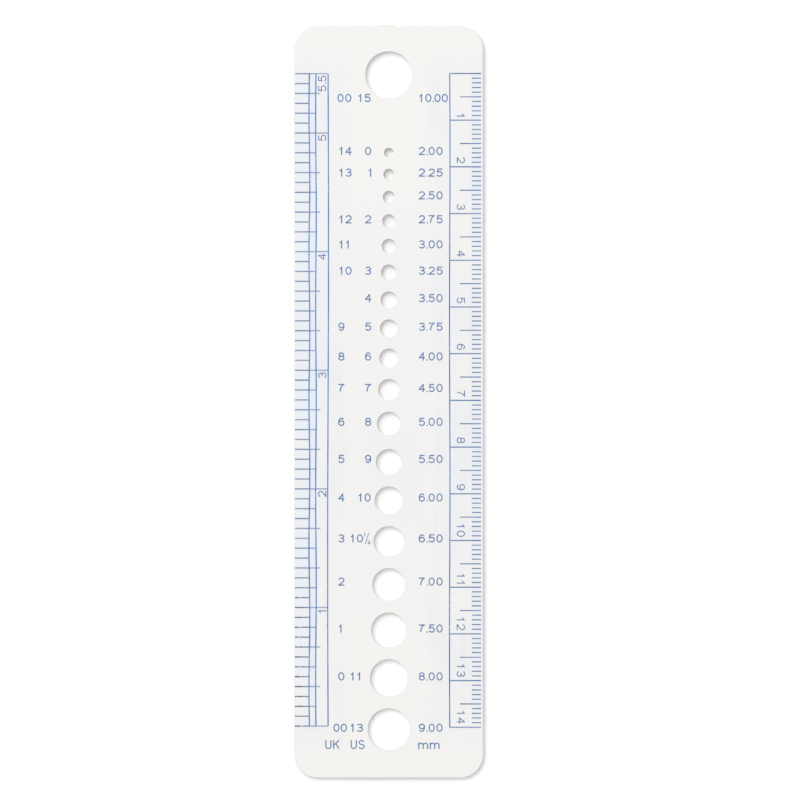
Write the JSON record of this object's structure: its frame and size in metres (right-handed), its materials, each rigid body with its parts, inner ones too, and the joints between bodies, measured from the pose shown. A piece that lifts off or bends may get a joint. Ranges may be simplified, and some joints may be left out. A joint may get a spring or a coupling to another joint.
{
  "type": "knitting needle gauge",
  "caption": "Flat white plastic knitting-needle gauge card with a column of graded round sizing holes, an inch rule and a centimetre rule on its long edges, and a blue size chart.",
  "frame": {"origin": "centre of the card's back face", "axes": "+Z out of the printed face, +Y along the card towards the 10.00 mm hole, +X towards the centimetre rule"},
  "size_m": [0.0406, 0.1613, 0.0016],
  "materials": {
    "white_plastic": "satin injection-moulded white plastic, faint flow marks, lightly handled",
    "ruling_ink": "matt blue print, a little uneven and broken",
    "figure_ink": "matt blue print, a little thin in places"
  },
  "bodies": {
    "root": {"card": "white_plastic", "inch_rule_lines": "ruling_ink", "inch_rule_ticks": "ruling_ink", "inch_rule_numbers": "figure_ink", "centimetre_rule_lines": "ruling_ink", "centimetre_rule_ticks": "ruling_ink", "centimetre_rule_numbers": "figure_ink", "metric_size_numbers": "figure_ink", "us_size_numbers": "figure_ink", "uk_size_numbers": "figure_ink", "column_headings": "figure_ink"}
  },
  "joints": []
}
